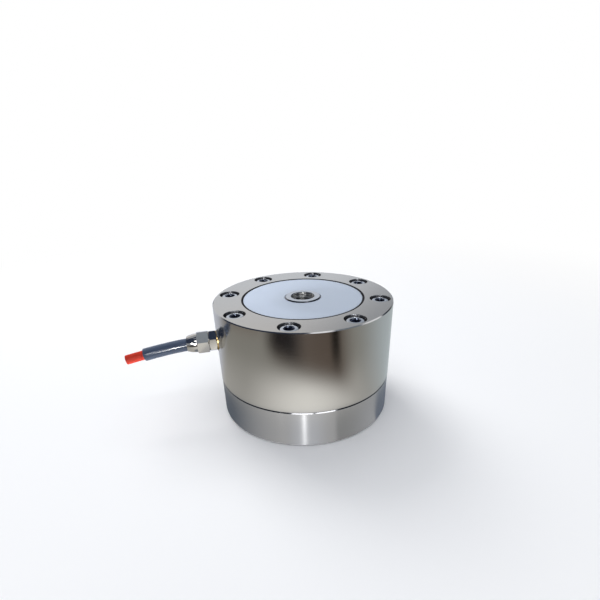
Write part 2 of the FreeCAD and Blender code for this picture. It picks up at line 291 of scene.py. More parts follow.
def new_material(name, **values):
    """Material with one Principled shader and its constants."""
    material = bpy.data.materials.new(name)
    material.use_nodes = True
    tree = material.node_tree
    shader = tree.nodes["Principled BSDF"]
    for key, value in values.items():
        shader.inputs[key.replace("_", " ")].default_value = value
    return material, tree, shader


def place(tree):
    return put(tree, "ShaderNodeTexCoord").outputs["Object"]


def noise(tree, vector, scale, detail=3.0, roughness=0.5):
    node = put(tree, "ShaderNodeTexNoise", {"Scale": scale, "Detail": detail, "Roughness": roughness})
    feed(tree, vector, node.inputs["Vector"])
    return node.outputs["Fac"]


def bump(tree, height, shader, distance):
    node = put(tree, "ShaderNodeBump", {"Distance": distance})
    feed(tree, height, node.inputs["Height"])
    feed(tree, node.outputs["Normal"], shader.inputs["Normal"])


def level_part(tree, vector):
    return vector_calc(tree, "MULTIPLY", vector, (1.0, 1.0, 0.0))


def axis_radius(tree, vector):
    return vector_calc(tree, "LENGTH", level_part(tree, vector))


def height_of(tree, vector):
    split = put(tree, "ShaderNodeSeparateXYZ")
    feed(tree, vector, split.inputs[0])
    return split.outputs["Z"]


def turned_place(tree, stretch=40.0):
    """Coordinates that vary quickly with radius and height and slowly round the axis."""
    position = place(tree)
    combined = put(tree, "ShaderNodeCombineXYZ")
    feed(tree, axis_radius(tree, position), combined.inputs["X"])
    feed(tree, height_of(tree, position), combined.inputs["Z"])
    slow = vector_calc(tree, "MULTIPLY", level_part(tree, position), (1.0 / stretch, 1.0 / stretch, 0.0))
    return vector_calc(tree, "ADD", slow, combined.outputs[0])


# Materials

def turned_metal(name, colour, shade, roughness, spread, anisotropy, grain, depth):
    """Metal with fine turning marks, slight changes of polish and soft clouding."""
    material, tree, shader = new_material(name, Metallic=1.0, Anisotropic=anisotropy,
                                          Anisotropic_Rotation=0.25)
    tangent = put(tree, "ShaderNodeTangent", direction_type="RADIAL", axis="Z")
    feed(tree, tangent.outputs["Tangent"], shader.inputs["Tangent"])
    cloud = noise(tree, place(tree), scale=28.0, detail=4.0)
    marks = noise(tree, turned_place(tree), scale=grain, detail=2.0, roughness=0.6)
    feed(tree, blend(tree, cloud, colour, shade), shader.inputs["Base Color"])
    polish = calc(tree, "ADD", cloud, marks)
    feed(tree, remap(tree, polish, roughness - spread, roughness + spread, start=0.6, end=1.4),
         shader.inputs["Roughness"])
    bump(tree, marks, shader, depth)
    return material, tree, shader


def fed_by(shader, name):
    return shader.inputs[name].links[0].from_socket


def darken(tree, shader, mask, colour):
    """Puts a colour where a mask is 1, over what the base colour has."""
    feed(tree, blend(tree, mask, fed_by(shader, "Base Color"), colour), shader.inputs["Base Color"])


def satin_nickel():
    """Satin metal: bluish hub with painted shade on its edge, and painted shade in the bores, whose
    gloss is drawn out in height.
    """
    material, tree, shader = turned_metal(
        "satin_nickel", colour=(0.63, 0.625, 0.61), shade=(0.57, 0.565, 0.555), roughness=0.145,
        spread=0.02, anisotropy=NICKEL_ANISOTROPY, grain=2600.0, depth=0.0000015)
    position = place(tree)
    height = height_of(tree, position)
    radius = axis_radius(tree, position)
    darken(tree, shader, below(tree, radius, *HUB_ZONE), (0.57, 0.61, 0.67))
    # Painted shade: the hub's edge is darkened where the gap beside the cover lies in shade.
    hub_edge_shade = both(tree, window(tree, radius, *HUB_EDGE_ACROSS), below(tree, height, *HUB_EDGE_HEIGHT))
    darken(tree, shader, hub_edge_shade, (0.20, 0.20, 0.22))
    in_hub = both(tree, below(tree, radius, *HUB_BORE_ACROSS), below(tree, height, *HUB_BORE_HEIGHT))
    in_rim = both(tree, window(tree, radius, *COUNTERBORES_ACROSS),
                  below(tree, height, *COUNTERBORES_HEIGHT))
    # Painted shade in the hub's bore, and deeper painted shade on the counterbore walls round the screw
    # heads.
    darken(tree, shader, in_hub, (0.56, 0.56, 0.55))
    darken(tree, shader, in_rim, (0.24, 0.24, 0.25))
    in_bore = calc(tree, "MAXIMUM", in_hub, in_rim)
    feed(tree, calc(tree, "MULTIPLY_ADD", in_bore, BORE_ROUGHNESS, fed_by(shader, "Roughness")),
         shader.inputs["Roughness"])
    feed(tree, calc(tree, "MULTIPLY_ADD", in_bore, BORE_ANISOTROPY, NICKEL_ANISOTROPY),
         shader.inputs["Anisotropic"])
    normal = put(tree, "ShaderNodeNewGeometry").outputs["Normal"]
    level = vector_calc(tree, "CROSS_PRODUCT", (0.0, 0.0, 1.0), normal)
    feed(tree, blend(tree, in_rim, fed_by(shader, "Tangent"), level), shader.inputs["Tangent"])
    return material


def turned_steel():
    """Turned metal, drawn out in height, with painted shade on a bevel round the base plate's upper
    edge.
    """
    material, tree, shader = turned_metal(
        "turned_steel", colour=(0.62, 0.625, 0.63), shade=(0.57, 0.575, 0.585), roughness=0.20,
        spread=0.015, anisotropy=1.0, grain=2200.0, depth=0.000002)
    position = place(tree)
    edge = both(tree, above(tree, axis_radius(tree, position), *BODY_SIDE),
                above(tree, height_of(tree, position), *JOINT_BEVEL))
    # Painted shade: the joint line between the body and the base plate is darkened on the bevel.
    darken(tree, shader, edge, (0.25, 0.25, 0.26))
    feed(tree, calc(tree, "MULTIPLY_ADD", edge, BEVEL_ROUGHNESS, fed_by(shader, "Roughness")),
         shader.inputs["Roughness"])
    feed(tree, calc(tree, "SUBTRACT", 1.0, edge), shader.inputs["Anisotropic"])
    outward = vector_calc(tree, "NORMALIZE", level_part(tree, position))
    slant = vector_calc(tree, "NORMALIZE", vector_calc(tree, "ADD", outward, (0.0, 0.0, 1.0)))
    feed(tree, blend(tree, edge, fed_by(shader, "Normal"), slant), shader.inputs["Normal"])
    return material


def screw_steel():
    """Bright heads, with painted shade in the sockets. Height 0 is the head's top."""
    material, tree, shader = turned_metal(
        "screw_steel", colour=(0.68, 0.72, 0.78), shade=(0.58, 0.63, 0.70), roughness=0.22,
        spread=0.04, anisotropy=0.0, grain=1500.0, depth=0.000003)
    position = place(tree)
    socket = both(tree, below(tree, axis_radius(tree, position), *SOCKET_ACROSS),
                  below(tree, height_of(tree, position), *SOCKET_HEIGHT))
    # Painted shade inside the socket.
    darken(tree, shader, socket, (0.22, 0.25, 0.33))
    return material


def cover_steel():
    return turned_metal(
        "cover_steel", colour=(0.58, 0.58, 0.58), shade=(0.52, 0.52, 0.52), roughness=0.35,
        spread=0.05, anisotropy=0.6, grain=1800.0, depth=0.000006)[0]


def plain_finish(name, colour, shade, roughness, spread, scale, grain, depth, **values):
    """Slight changes of colour and polish, and a fine surface."""
    material, tree, shader = new_material(name, **values)
    cloud = noise(tree, place(tree), scale, detail=4.0)
    feed(tree, blend(tree, cloud, colour, shade), shader.inputs["Base Color"])
    feed(tree, remap(tree, cloud, roughness - spread, roughness + spread, start=0.3, end=0.7),
         shader.inputs["Roughness"])
    bump(tree, noise(tree, place(tree), scale * grain), shader, depth)
    return material


def plain_metal(name, **values):
    return plain_finish(name, grain=8, Metallic=1.0, **values)


def plain_plastic(name, **values):
    return plain_finish(name, grain=6, **values)


def gland_nickel():
    return plain_metal("gland_nickel", colour=(0.78, 0.765, 0.74), shade=(0.72, 0.71, 0.69),
                       roughness=0.11, spread=0.03, scale=160.0, depth=0.000004)


def washer_brass():
    return plain_metal("washer_brass", colour=(0.83, 0.62, 0.30), shade=(0.70, 0.50, 0.22),
                       roughness=0.22, spread=0.05, scale=300.0, depth=0.00001)


def lead_copper():
    return plain_metal("lead_copper", colour=(0.85, 0.50, 0.32), shade=(0.70, 0.38, 0.22),
                       roughness=0.25, spread=0.05, scale=500.0, depth=0.00001)


def cover_white():
    """Milky plastic, with a painted shadow beside the hub and painted shade towards the right."""
    material, tree, shader = new_material(
        "cover_white", Subsurface_Weight=0.1, Subsurface_Radius=(0.0015, 0.0015, 0.002),
        Subsurface_Scale=1.0)
    position = place(tree)
    from_halo = vector_calc(tree, "SUBTRACT", position, HUB_SHADOW_CENTRE)
    # Painted shadow of the hub, set off towards the right and the front.
    hub_shadow = rise(tree, axis_radius(tree, from_halo), *HUB_SHADOW_STEP)
    # Painted shade that deepens towards the right and the front.
    across = remap(tree, vector_calc(tree, "DOT_PRODUCT", position, COVER_SHADE), 0.0, 1.0,
                   start=-COVER_SHADE_REACH, end=COVER_SHADE_REACH)
    cloud = noise(tree, position, scale=45.0)
    cloud_and_side_shade = calc(tree, "MULTIPLY_ADD", cloud, CLOUD_SHARE, across)
    # The painted shadow, the painted shade and the random clouds together.
    depth = calc(tree, "MULTIPLY_ADD", hub_shadow, HUB_SHADOW_SHARE, cloud_and_side_shade)
    feed(tree, blend(tree, depth, (0.535, 0.61, 0.735), (0.38, 0.435, 0.52)),
         shader.inputs["Base Color"])
    feed(tree, remap(tree, cloud, 0.28, 0.36, start=0.3, end=0.7), shader.inputs["Roughness"])
    bump(tree, noise(tree, turned_place(tree), scale=1500.0, detail=2.0), shader, distance=0.000002)
    return material


def sleeve_slate():
    return plain_plastic("sleeve_slate", colour=(0.072, 0.098, 0.155), shade=(0.062, 0.084, 0.134),
                         roughness=0.15, spread=0.01, scale=220.0, depth=0.0000004, IOR=1.5)


def cable_red():
    return plain_plastic("cable_red", colour=(0.60, 0.042, 0.022), shade=(0.55, 0.037, 0.018),
                         roughness=0.50, spread=0.06, scale=260.0, depth=0.00002,
                         Specular_IOR_Level=0.15)


def seal_rubber():
    return plain_plastic("seal_rubber", colour=(0.018, 0.018, 0.02), shade=(0.012, 0.012, 0.013),
                         roughness=0.65, spread=0.06, scale=400.0, depth=0.00002,
                         Specular_IOR_Level=0.05)


def board_green():
    return plain_plastic("board_green", colour=(0.05, 0.23, 0.12), shade=(0.04, 0.18, 0.09),
                         roughness=0.40, spread=0.05, scale=300.0, depth=0.00001)


def gauge_foil():
    return plain_plastic("gauge_foil", colour=(0.70, 0.44, 0.15), shade=(0.58, 0.34, 0.10),
                         roughness=0.35, spread=0.05, scale=800.0, depth=0.00001)


def core_plastic(name, colour):
    shade = tuple(0.8 * part for part in colour)
    return plain_plastic(name, colour=colour, shade=shade, roughness=0.40, spread=0.05, scale=500.0,
                         depth=0.00001)


MATERIALS = {
    "satin_nickel": satin_nickel(),
    "turned_steel": turned_steel(),
    "screw_steel": screw_steel(),
    "cover_white": cover_white(),
    "cover_steel": cover_steel(),
    "seal_rubber": seal_rubber(),
    "gland_nickel": gland_nickel(),
    "washer_brass": washer_brass(),
    "sleeve_slate": sleeve_slate(),
    "cable_red": cable_red(),
    "board_green": board_green(),
    "gauge_foil": gauge_foil(),
    "lead_copper": lead_copper(),
    "core_red": core_plastic("core_red", (0.60, 0.05, 0.04)),
    "core_black": core_plastic("core_black", (0.02, 0.02, 0.02)),
    "core_green": core_plastic("core_green", (0.04, 0.30, 0.10)),
    "core_white": core_plastic("core_white", (0.82, 0.82, 0.80)),
}


# Pieces

def link(piece):
    bpy.context.scene.collection.objects.link(piece)


def finish_piece(piece, slot):
    """Gives a new piece its finish and its body."""
    piece.data.materials.append(MATERIALS[slot])
    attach(piece, root)
    return piece


def mesh_piece(name, points, faces, slot, sharp=35.0, spot=(0.0, 0.0, 0.0)):
    """Mesh with smooth faces and sharp edges where it turns by more than an angle."""
    mesh = bpy.data.meshes.new(name)
    mesh.from_pydata([tuple(p) for p in points], [], faces)
    mesh.validate()
    mesh.shade_smooth()
    mesh.set_sharp_from_angle(angle=math.radians(sharp))
    piece = bpy.data.objects.new(name, mesh)
    link(piece)
    piece.location = spot
    bpy.context.view_layer.update()
    return finish_piece(piece, slot)


def grid_faces(rows, columns, closed_rows=False):
    """Quads between rows of points that each run round a closed loop."""
    faces = []
    last = rows if closed_rows else rows - 1
    for i in range(last):
        j = (i + 1) % rows
        for k in range(columns):
            m = (k + 1) % columns
            faces.append((i * columns + k, i * columns + m, j * columns + m, j * columns + k))
    return faces


def quarter_turns(steps=4):
    """Angles of a rounded edge, in radians."""
    return [math.pi / 2 * k / steps for k in range(steps + 1)]


def axis_point(radius, turn, height):
    return radius * math.cos(turn), radius * math.sin(turn), height


def gland_point(out, radius, angle):
    """Point round the gland's axis. Angle 0 is level on the camera's side, and 90 is up."""
    turn = math.radians(angle)
    return Vector((-out, -radius * math.cos(turn), gland_z + radius * math.sin(turn)))


def hexagon_radius(across_flats, corner, angle):
    """Distance from the axis to a hexagon's side, with a corner at an angle."""
    off = (angle - corner) % 60.0 - 30.0
    return across_flats / 2 / math.cos(math.radians(off))


def gland_shell(name, rows, slot, corner=0.0, steps=120):
    """Closed shell round the gland's axis. A row is a function of angle that gives (out, radius)."""
    points = []
    for row in rows:
        for k in range(steps):
            angle = corner + 360.0 * k / steps
            out, radius = row(angle)
            points.append(gland_point(out, radius, angle))
    return mesh_piece(name, points, grid_faces(len(rows), steps, closed_rows=True), slot)


def ring(out, radius):
    """Round row of a shell, the same at every angle."""
    return lambda angle: (out, radius)


def hexagon_row(out, across_flats, corner, face_r, side):
    """Edge of a chamfered hexagon: the cone from its face circle cuts the flats."""
    slope = math.tan(math.radians(CORNER_SLOPE))

    def row(angle):
        radius = hexagon_radius(across_flats, corner, angle)
        return out + side * max(radius - face_r, 0.0) * slope, radius
    return row


def gland_adapter():
    """Adapter with chamfered corners, its threaded ends plain."""
    face_r = ADAPTER_AF / 2 - FACE_INSET
    port_end_x = adapter_x - PORT_END_LENGTH
    nut_end_x = tail_x + NUT_END_LENGTH
    rows = [
        ring(port_end_x, ADAPTER_BORE_R),
        ring(port_end_x, PORT_END_R - END_BEVEL),
        ring(port_end_x + END_BEVEL, PORT_END_R),
        ring(adapter_x, PORT_END_R),
        ring(adapter_x, face_r),
        hexagon_row(adapter_x, ADAPTER_AF, ADAPTER_TURN, face_r, side=1),
        hexagon_row(tail_x, ADAPTER_AF, ADAPTER_TURN, face_r, side=-1),
        ring(tail_x, face_r),
        ring(tail_x, NUT_END_R),
        ring(nut_end_x - END_BEVEL, NUT_END_R),
        ring(nut_end_x, NUT_END_R - END_BEVEL),
        ring(nut_end_x, ADAPTER_BORE_R),
    ]
    piece = gland_shell("gland_adapter", rows, "gland_nickel", ADAPTER_TURN)
    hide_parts("gland_body")
    return piece


def dome_rows(count=8):
    """Rounded dome from inside the hexagon's flats to the lip."""
    length = mouth_x - dome_x
    inset = DOME_R - LIP_R
    arc_r = (inset ** 2 + length ** 2) / (2 * inset)
    rows = []
    for k in range(count + 1):
        out = length * k / count
        rows.append(ring(dome_x + out, DOME_R - (arc_r - math.sqrt(arc_r ** 2 - out ** 2))))
    return rows


def gland_cap():
    """Clamping nut: chamfered hexagon and a rounded dome with a narrow lip."""
    face_r = NUT_AF / 2 - FACE_INSET
    rows = [
        ring(nut_x, TAIL_R),
        ring(nut_x, face_r),
        hexagon_row(nut_x, NUT_AF, NUT_TURN, face_r, side=1),
        hexagon_row(dome_x, NUT_AF, NUT_TURN, face_r, side=-1),
        ring(dome_x, face_r),
        *dome_rows(),
        ring(mouth_x, MOUTH_R),
        ring(mouth_x - MOUTH_DEPTH, MOUTH_R),
        ring(mouth_x - MOUTH_DEPTH, TAIL_R),
    ]
    piece = gland_shell("gland_cap", rows, "gland_nickel", NUT_TURN)
    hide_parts("gland_nut")
    return piece


def turned_shell(name, centre, rows, slot, corner=0.0, steps=60):
    """Closed shell round a vertical axis. A row is a function of angle that gives (height, radius)."""
    points = []
    for row in rows:
        for k in range(steps):
            angle = corner + 360.0 * k / steps
            height, radius = row(angle)
            points.append(axis_point(radius, math.radians(angle), height))
    faces = grid_faces(len(rows), steps)
    faces.append(tuple(range(steps)))
    faces.append(tuple(reversed(range((len(rows) - 1) * steps, len(rows) * steps))))
    return mesh_piece(name, points, faces, slot, spot=centre)


def socket_row(height, across_flats, corner):
    return lambda angle: (height, hexagon_radius(across_flats, corner, angle))


def screw(number):
    """Cap screw with a rounded head and a socket, in place of the plain one."""
    node = f"rim_screw_{number}"
    low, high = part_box(node)
    head_top = Vector(((low.x + high.x) / 2, (low.y + high.y) / 2, high.z))
    corner = SOCKET_TURN * number
    rows = [
        ring(-SOCKET_DEPTH - SOCKET_POINT, SOCKET_POINT_R),
        ring(-SOCKET_DEPTH, SOCKET_AF / 2 * SOCKET_FLOOR_SHARE),
        socket_row(-SOCKET_DEPTH, SOCKET_AF, corner),
        socket_row(-SOCKET_EDGE, SOCKET_AF, corner),
        ring(0.0, SOCKET_RIM_R),
    ]
    for turn in quarter_turns():
        rows.append(ring(-HEAD_ROUND * (1 - math.cos(turn)), HEAD_R - HEAD_ROUND * (1 - math.sin(turn))))
    rows += [
        ring(-HEAD_H, HEAD_R),
        ring(-HEAD_H, SHANK_R),
        ring(low.z - high.z, SHANK_R),
    ]
    piece = turned_shell(f"cap_screw_{number}", head_top, rows, "screw_steel", corner)
    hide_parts(node)


def groove_ring(name, rows, slot, steps=180):
    """Closed ring in the groove. A row is (height, radius)."""
    points = []
    for height, radius in rows:
        for k in range(steps):
            points.append(axis_point(radius, 2 * math.pi * k / steps, height))
    mesh_piece(name, points, grid_faces(len(rows), steps, closed_rows=True), slot, sharp=60.0)


def cover_fillet():
    """White filler that brings the cover's edge out, level with its face."""
    inner = COVER_R + BEAD_PLAY
    lap = COVER_EDGE * FILLET_LAP_SHARE
    floor = GROOVE_FLOOR + BEAD_PLAY
    rows = [
        (floor, inner),
        (COVER_TOP - COVER_EDGE + BEAD_PLAY, inner),
        (FILLET_TOP, inner - lap),
        (FILLET_TOP, FILLET_R - FILLET_EDGE),
        (FILLET_TOP - FILLET_EDGE, FILLET_R),
        (floor, FILLET_R),
    ]
    groove_ring("cover_fillet", rows, "cover_white")


def groove_shade_bead():
    """Bead of black rubber between the filler and the rim, a dark piece that stands in for the shade in
    the groove.
    """
    inner = FILLET_R + BEAD_PLAY
    wall = GROOVE_OUTER_R - BEAD_PLAY
    floor = GROOVE_FLOOR + BEAD_PLAY
    rows = [
        (floor, inner),
        (BEAD_TOP - BEAD_EDGE, inner),
        (BEAD_TOP, inner + BEAD_EDGE),
        (BEAD_TOP, wall - BEAD_EDGE),
        (BEAD_TOP - BEAD_WALL_EDGE, wall),
        (floor, wall),
    ]
    groove_ring("groove_shade_bead", rows, "seal_rubber")


def thread_piece(name, low, high, slot, steps=48):
    """Ridge of an internal thread, which runs out into the wall over half a turn at both ends."""
    count = int((high - low) / THREAD_PITCH * steps)
    runout = steps / 2
    least = 0.02
    points = []
    for i in range(count + 1):
        turn = 2 * math.pi * i / steps
        z = low + THREAD_PITCH * i / steps
        share = max(min(1.0, i / runout, (count - i) / runout), least)
        crest = THREAD_R - (THREAD_R - CREST_R) * share
        for radius, offset in ((THREAD_R, -ROOT_W / 2), (crest, -CREST_W / 2),
                               (crest, CREST_W / 2), (THREAD_R, ROOT_W / 2)):
            points.append(axis_point(radius, turn, z + offset))
    corners = 4
    faces = grid_faces(count + 1, corners)
    faces.append(tuple(reversed(range(corners))))
    faces.append(tuple(corners * count + k for k in range(corners)))
    mesh_piece(name, points, faces, slot, sharp=25.0)


# Cable

def cable_control_points():
    return [Vector((-(mouth_x + out), 0.0, gland_z - drop)) for out, drop in ROUTE]


def route_curve(name):
    """Curve with one open spline whose control points are the route's corners."""
    curve = bpy.data.curves.new(name, "CURVE")
    curve.dimensions = "3D"
    corners = cable_control_points()
    spline = curve.splines.new("NURBS")
    spline.points.add(len(corners) - 1)
    for point, corner in zip(spline.points, corners):
        point.co = (*corner, 1.0)
    spline.order_u = 3
    spline.use_endpoint_u = True
    spline.resolution_u = 24
    return curve


def cable_curve():
    """Red jacket along the route, which metal doesn't mirror."""
    curve = route_curve("cable_jacket")
    curve.bevel_depth = CABLE_D / 2
    curve.bevel_resolution = 10
    curve.use_fill_caps = True
    piece = bpy.data.objects.new("cable_jacket", curve)
    link(piece)
    finish_piece(piece, "cable_red")
    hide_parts("cable")
    piece.visible_glossy = False
    return piece


def route_line():
    """Points along the route, read from a curve with no bevel."""
    curve = route_curve("route")
    guide = bpy.data.objects.new("route", curve)
    link(guide)
    mesh = bpy.data.meshes.new_from_object(guide)
    line = [vertex.co.copy() for vertex in mesh.vertices]
    bpy.data.objects.remove(guide)
    bpy.data.meshes.remove(mesh)
    bpy.data.curves.remove(curve)
    return line


def along(line, distance):
    """Place and heading at a distance along the line."""
    passed = 0.0
    for before, after in zip(line, line[1:]):
        step = (after - before).length
        if passed + step >= distance or after == line[-1]:
            heading = (after - before).normalized()
            return before + heading * (distance - passed), heading
        passed += step


def section_point(centre, heading, radius, turn):
    """Point round the route's line. Turn 0 is level, on the side away from the camera."""
    across = Vector((0.0, 1.0, 0.0))
    down = heading.cross(across).normalized()
    return centre + (across * math.cos(turn) + down * math.sin(turn)) * radius


def route_shell(name, line, rows, slot, steps=48):
    """Closed shell round the route. A row is (distance along it, radius)."""
    points = []
    for distance, radius in rows:
        centre, heading = along(line, distance)
        for k in range(steps):
            points.append(section_point(centre, heading, radius, 2 * math.pi * k / steps))
    return mesh_piece(name, points, grid_faces(len(rows), steps, closed_rows=True), slot)


def sleeve(line, stretches=14):
    """Sleeve with a rounded outer end, from inside the nut's mouth outwards."""
    start = -ROUTE[0][0] - SLEEVE_SET
    end = start + SLEEVE_LENGTH
    outer = SLEEVE_D / 2
    inner = SLEEVE_BORE_D / 2
    rows = [(start, inner), (start, outer)]
    for k in range(1, stretches):
        rows.append((start + (SLEEVE_LENGTH - SLEEVE_LIP) * k / stretches, outer))
    for turn in quarter_turns():
        rows.append((end - SLEEVE_LIP * (1 - math.sin(turn)), outer - SLEEVE_LIP * (1 - math.cos(turn))))
    rows.append((end, inner))
    rows.append((end - SLEEVE_BORE_STEP, inner))
    piece = route_shell("sleeve", line, rows, "sleeve_slate")
    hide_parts("cable_sleeve")
    return piece


def cores_at_end(line, steps=24):
    """Four cores with bevelled ends at the cable's cut."""
    length = sum((b - a).length for a, b in zip(line, line[1:]))
    centre, heading = along(line, length)
    rows = [
        (-CORE_INSET, CORE_D / 2),
        (CORE_STAND - CORE_BEVEL_OUT, CORE_D / 2),
        (CORE_STAND, CORE_D / 2 - CORE_BEVEL_IN),
    ]
    faces = grid_faces(len(rows), steps)
    faces.append(tuple(reversed(range(steps))))
    faces.append(tuple((len(rows) - 1) * steps + k for k in range(steps)))
    made = []
    for number, slot in enumerate(CORE_SLOTS):
        core_centre = section_point(centre, heading, CORE_SPREAD, math.pi / 4 + math.pi / 2 * number)
        points = []
        for out, radius in rows:
            for k in range(steps):
                turn = 2 * math.pi * k / steps
                points.append(section_point(core_centre + heading * out, heading, radius, turn))
        made.append(mesh_piece(f"core_end_{number + 1}", points, faces, slot))
    return made


# Finish of the frame's own nodes

def dress_nodes():
    slots = {row["node"]: row["material_slot"] for row in frame["record"]["subparts"]}
    for name, node in nodes.items():
        node.data.materials.clear()
        node.data.materials.append(MATERIALS[slots[name]])


# Camera

def make_camera():
    data = bpy.data.cameras.new("camera")
    data.sensor_width = CAMERA_SENSOR
    data.lens = CAMERA_LENS
    data.shift_x, data.shift_y = CAMERA_SHIFT
    data.clip_start = CAMERA_NEAR
    data.clip_end = CAMERA_FAR
    camera = bpy.data.objects.new("camera", data)
    link(camera)
    azimuth = math.radians(CAMERA_AZIMUTH)
    elevation = math.radians(CAMERA_ELEVATION)
    back = Vector((
        math.sin(azimuth) * math.cos(elevation),
        -math.cos(azimuth) * math.cos(elevation),
        math.sin(elevation),
    ))
    camera.location = LOOK_AT + back * CAMERA_DISTANCE
    turn = (-back).to_track_quat("-Z", "Y").to_matrix().to_4x4()
    roll = Matrix.Rotation(math.radians(CAMERA_ROLL), 4, "Z")
    camera.matrix_world = Matrix.Translation(camera.location) @ turn @ roll
    bpy.context.scene.camera = camera


# Surroundings. Angles are to the right of the camera's direction, seen from the load axis.
# A span is two limits and the width of their soft edges, and a step is where it starts and ends.

TURN = math.radians(CAMERA_AZIMUTH)
FRONT = (math.sin(TURN), -math.cos(TURN), 0.0)
RIGHT = (math.cos(TURN), math.sin(TURN), 0.0)
WHITE = (1.0, 1.0, 1.0)

# Room: angles round it and up it, and the two slants at which the wall and the window are cut off
CEILING_STEP = (5.0, 25.0)
LOW_WALL_UP = (-5.0, 21.0, 8.0)
LOW_WALL_GAP = (113.0, 150.0, 4.0)
HIGH_ACROSS = (-85.0, 85.0, 20.0)
HIGH_UP = (50.0, 76.0, 6.0)
WALL_ACROSS = (-58.0, 44.0, 12.0)
WALL_UP = (-5.0, 48.0, 14.0)
WALL_FADE_STEP = (16.0, 26.0)
WALL_SLANT = 1.2
WALL_SPLIT = 32.4
WALL_SPLIT_STEP = (-8.8, 8.4)
WINDOW_SLANT = 0.64
WINDOW_ACROSS = (92.0, 116.0, 5.0)
WINDOW_UP = (95.0, 104.0, 3.0)
BESIDE_ACROSS = (58.0, 92.0, 6.0)
BESIDE_UP = (92.0, 106.0, 4.0)
GLOW_ACROSS = (-50.0, 50.0, 30.0)
GLOW_UP = (71.0, 79.0, 4.0)
PANEL_ACROSS = (12.0, 55.0, 4.0)
PANEL_UP = (57.0, 67.0, 3.0)

# Table: angles across, and distances out from the load axis
TABLE_OUT_STEP = (0.16, 0.08)
FAR_LEFT_ACROSS = (-115.0, -45.0, 20.0)
FAR_LEFT_OUT_STEP = (0.170, 0.230)
RIGHT_STEP = (48.0, 106.0)
BACK_LEFT_STEP = (-92.0, -122.0)
NEAR_WIDE_STEP = (68.0, 0.0)
NEAR_OUT_STEP = (0.145, 0.095)
REACH_SLOPE = 0.0006
BROWN_ACROSS = (-34.0, 44.0, 26.0)
BROWN_OUT_STEP = (0.108, 0.154)
DARK_ACROSS = (-37.0, -5.0, 22.0)
DARK_OUT_STEP = (0.122, 0.162)
STREAK_ACROSS = (28.5, 37.0, 7.0)
STREAK_OUT_STEP = (0.112, 0.168)

# Where the table lies that the joint line mirrors: its distance in front, and its fall with the
# angle squared. What lies nearer is mirrored by the base plate.
JOINT_MARK_R = 0.0825
JOINT_MARK_FALL = 0.0000014
FOOT_STEP = (1.05, 0.97)
FOOT_STRETCH = 0.48
FOOT_STRETCH_POWER = 0.8
FOOT_SPLIT_STEP = (16.5, 20.5)
FOOT_RIGHT_STEP = (22.0, 48.0)
FOOT_MIDDLE = (-9.0, 10.0, 12.0)
FOOT_LEFT_STEP = (-12.0, -62.0)
FOOT_END_STEP = (51.0, 54.0)

# Floor and card
FLOOR_HALF = 12.0
FLOOR_FADE_STEP = (0.05, 0.60)
CARD_INNER_R = 0.045
CARD_OUTER_R = 1.0
CARD_Z = 0.0005

# Lamps: distance from the origin, distance in front of the load axis, and the side lamp's aim
# past the nut's mouth
LAMP_DISTANCE = 0.75
LAMP_FRONT = 0.206
SIDE_AIM_OUT = 0.012


def around(radius, angle, z):
    turn = math.radians(CAMERA_AZIMUTH + angle)
    return Vector((radius * math.sin(turn), -radius * math.cos(turn), z))


def aligned(right, front, z):
    """Point given by its distances to the right of the load axis and towards the camera."""
    return Vector(RIGHT) * right + Vector(FRONT) * front + Vector((0.0, 0.0, z))


def raised(distance, angle, elevation):
    """Point at a distance, an angle and a height in degrees above the floor."""
    lift = math.radians(elevation)
    return around(distance * math.cos(lift), angle, distance * math.sin(lift))


def bearing(tree, vector, behind=False):
    """Angle of a direction in degrees: 0 is towards the camera, or straight away from it."""
    forward = vector_calc(tree, "DOT_PRODUCT", vector, FRONT)
    if behind:
        forward = calc(tree, "MULTIPLY", forward, -1.0)
    sideways = vector_calc(tree, "DOT_PRODUCT", vector, RIGHT)
    return calc(tree, "DEGREES", calc(tree, "ARCTAN2", sideways, forward))


def patch(tree, under, across, across_span, up, up_span, colour):
    """Colour over what is under it, between limits across and up."""
    share = both(tree, window(tree, across, *across_span), window(tree, up, *up_span))
    return blend(tree, share, under, colour)


def wall_colour(tree, height, back):
    """Pale wall, with a slanted split beyond which it is grey."""
    pale = blend(tree, rise(tree, height, *WALL_FADE_STEP), (0.75, 0.78, 0.83), (0.72, 0.70, 0.685))
    turn = calc(tree, "MULTIPLY_ADD", height, WALL_SLANT, calc(tree, "SUBTRACT", back, WALL_SPLIT))
    return blend(tree, rise(tree, turn, *WALL_SPLIT_STEP), pale, (0.37, 0.385, 0.41))


def room_colour(tree, direction):
    """Dark room: low grey wall, pale wall behind, window at the right, bright panel up in front."""
    height = calc(tree, "DEGREES", calc(tree, "ARCSINE", height_of(tree, direction)))
    front = bearing(tree, direction)
    back = bearing(tree, direction, behind=True)
    slant = calc(tree, "MULTIPLY_ADD", front, WINDOW_SLANT, height)
    colour = blend(tree, rise(tree, height, *CEILING_STEP), (0.05, 0.042, 0.038), (0.028, 0.038, 0.066))
    closed = calc(tree, "SUBTRACT", 1.0, window(tree, front, *LOW_WALL_GAP))
    low_wall = both(tree, window(tree, height, *LOW_WALL_UP), closed)
    colour = blend(tree, low_wall, colour, (0.30, 0.31, 0.33))
    colour = patch(tree, colour, back, HIGH_ACROSS, height, HIGH_UP, (0.36, 0.375, 0.40))
    colour = patch(tree, colour, back, WALL_ACROSS, height, WALL_UP, wall_colour(tree, height, back))
    colour = patch(tree, colour, front, BESIDE_ACROSS, slant, BESIDE_UP, (0.24, 0.27, 0.31))
    colour = patch(tree, colour, front, WINDOW_ACROSS, slant, WINDOW_UP, (1.15, 1.16, 1.2))
    colour = patch(tree, colour, front, GLOW_ACROSS, height, GLOW_UP, (0.27, 0.30, 0.34))
    return patch(tree, colour, front, PANEL_ACROSS, height, PANEL_UP, (1.25, 1.25, 1.3))


